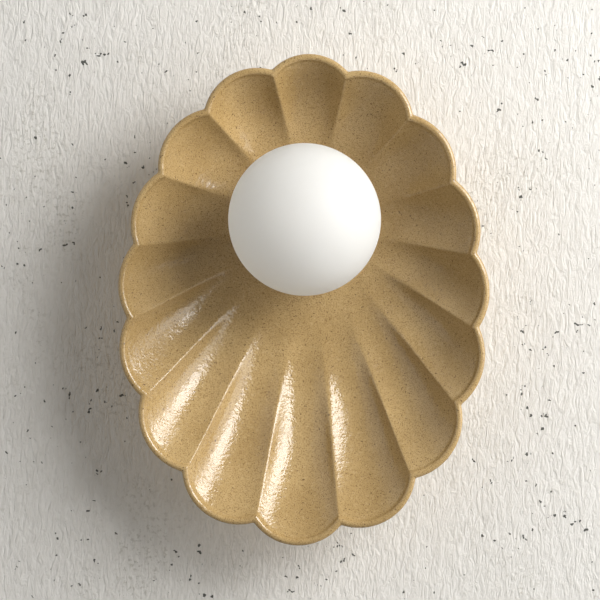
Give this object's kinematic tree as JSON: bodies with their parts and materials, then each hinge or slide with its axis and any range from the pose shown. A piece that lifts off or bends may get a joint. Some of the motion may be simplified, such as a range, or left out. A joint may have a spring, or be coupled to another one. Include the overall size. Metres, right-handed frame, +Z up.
{
  "type": "wall light",
  "caption": "Wall light with a fluted, shell-shaped stoneware dish and an opal glass globe that screws onto a brass cup over a two-pin lampholder.",
  "frame": {"origin": "on the wall plane, at the globe's axis, in the middle of the wall plate's back face", "axes": "+Z up, -Y out of the wall towards the room, +X to the right for someone facing the wall"},
  "size_m": [0.2462, 0.136, 0.3257],
  "materials": {
    "glaze": "semi-gloss speckled stoneware glaze",
    "zinc_steel": "zinc plated",
    "black_rubber": "matt",
    "brass": "machined",
    "satin_brass": "satin",
    "grey_silicone": "matt",
    "steatite": "unglazed white",
    "contact_bronze": "spring bronze",
    "white_polyamide": "natural",
    "brown_insulation": "satin",
    "blue_insulation": "satin",
    "green_yellow_insulation": "satin",
    "tinned_copper": "tinned",
    "opal_glass": "satin opal",
    "frosted_cover": "frosted"
  },
  "bodies": {
    "base": {"shell": "glaze", "wall_plate": "zinc_steel", "plate_grommet": "black_rubber", "side_screws": "brass", "nipple": "zinc_steel", "back_gasket": "grey_silicone", "back_washer": "zinc_steel", "lock_washer": "zinc_steel", "hex_nut": "brass", "front_gasket": "grey_silicone", "socket_cup": "satin_brass", "cup_nut": "brass", "holder_bracket": "zinc_steel", "lampholder": "steatite", "holder_contacts": "contact_bronze", "holder_screws": "zinc_steel", "terminal_block": "white_polyamide", "terminal_clamps": "brass", "terminal_screws": "zinc_steel", "block_screws": "zinc_steel", "live_lead": "brown_insulation", "neutral_lead": "blue_insulation", "earth_lead": "green_yellow_insulation", "earth_tag": "tinned_copper", "earth_screw": "brass"},
    "globe_carrier": {"globe_seal": "grey_silicone"},
    "globe": {"globe_glass": "opal_glass"},
    "bulb": {"bulb_base": "steatite", "bulb_pins": "zinc_steel", "bulb_board": "white_polyamide", "bulb_cover": "frosted_cover"}
  },
  "joints": [
    {"name": "globe_advance", "type": "slide", "parent": "base", "child": "globe_carrier", "axis": [0, -1, 0], "range_m": [0, 0.008]},
    {"name": "globe_turn", "type": "hinge", "parent": "globe_carrier", "child": "globe", "pos_m": [0, -0.036, 0], "axis": [0, -1, 0], "range_deg": [0, 720]},
    {"name": "bulb_pull", "type": "slide", "parent": "base", "child": "bulb", "axis": [0, -1, 0], "range_m": [0, 0.008]}
  ],
  "couplings": [
    {"joint": "globe_advance", "follows": "globe_turn", "m_per_rad": 0.0006366}
  ]
}
